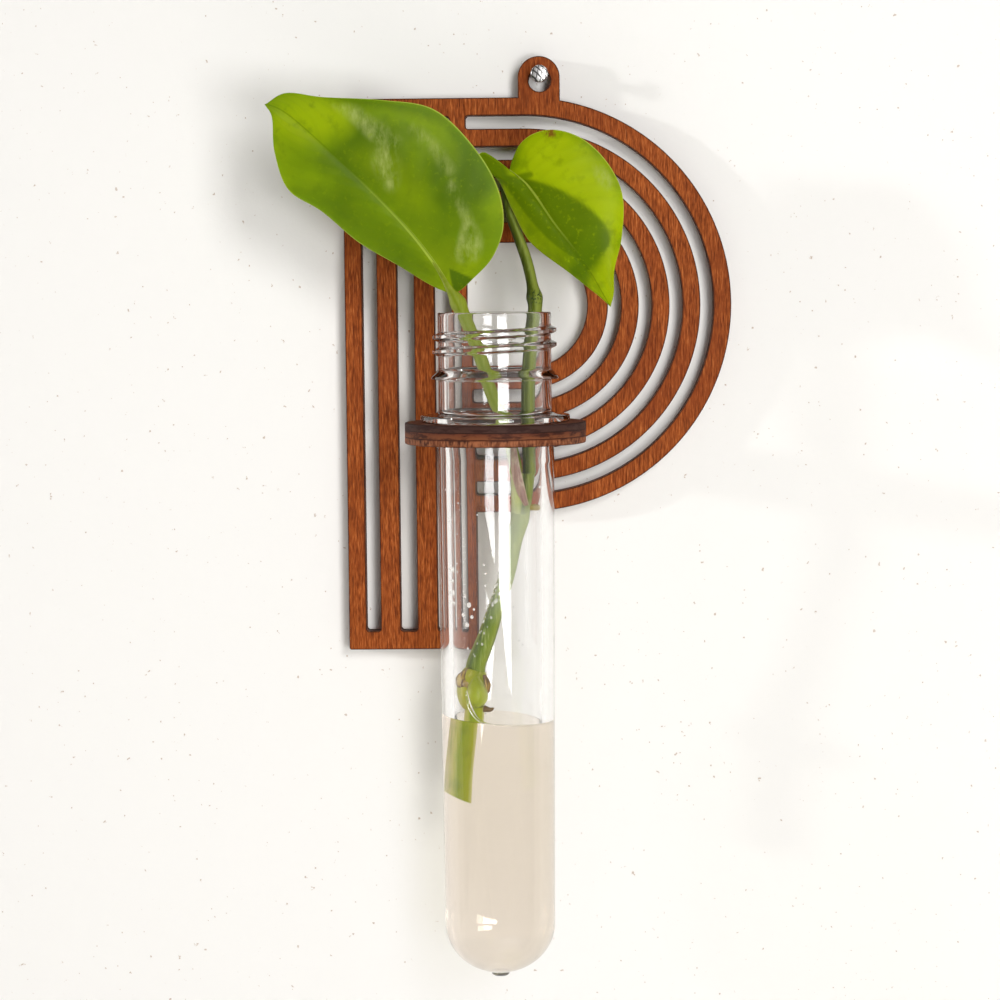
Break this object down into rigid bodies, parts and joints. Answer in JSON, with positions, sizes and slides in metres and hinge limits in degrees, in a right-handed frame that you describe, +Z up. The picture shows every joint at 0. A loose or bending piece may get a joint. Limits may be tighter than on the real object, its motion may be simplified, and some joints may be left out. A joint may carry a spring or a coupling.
{
  "type": "wall-mounted hydroponic planter",
  "caption": "Pierced plywood wall plate that hangs on a nail, with a plug-in ring holding a clear flanged test tube of water and a leafy vine cutting.",
  "frame": {"origin": "the nail's axis at the wall plane, which is the back face of the plate", "axes": "+Z up along the plate and the tube, +Y into the wall, +X to the right as seen from the room"},
  "size_m": [0.1019, 0.0592, 0.2057],
  "materials": {
    "nail_steel": "polished",
    "plywood_face": "satin",
    "plywood_edge": "matte",
    "clear_plastic": "gloss",
    "water": "gloss",
    "green_stem": "satin",
    "dark_stem": "satin",
    "pale_node": "satin",
    "mid_green_leaf": "satin",
    "lime_leaf": "satin"
  },
  "bodies": {
    "nail": {"wall_nail": "nail_steel"},
    "plate": {"wall_plate": "plywood_face", "holder_ring": "plywood_edge"},
    "tube": {"tube": "clear_plastic", "water": "water"},
    "cutting": {"lower_stem": "green_stem", "lower_node": "pale_node", "upper_stem": "green_stem", "upper_node": "pale_node", "left_petiole": "green_stem", "right_petiole": "dark_stem", "left_leaf": "mid_green_leaf", "right_leaf": "lime_leaf"}
  },
  "joints": [
    {"name": "plate_swing", "type": "hinge", "parent": "nail", "child": "plate", "pos_m": [0, 0, 0], "axis": [0, 1, 0], "range_deg": [-30, 30]},
    {"name": "tube_lift", "type": "slide", "parent": "plate", "child": "tube", "axis": [0, 0, 1], "range_m": [0, 0.125]},
    {"name": "cutting_lift", "type": "slide", "parent": "tube", "child": "cutting", "axis": [0, 0, 1], "range_m": [0, 0.11], "deforming": ["water"]}
  ]
}
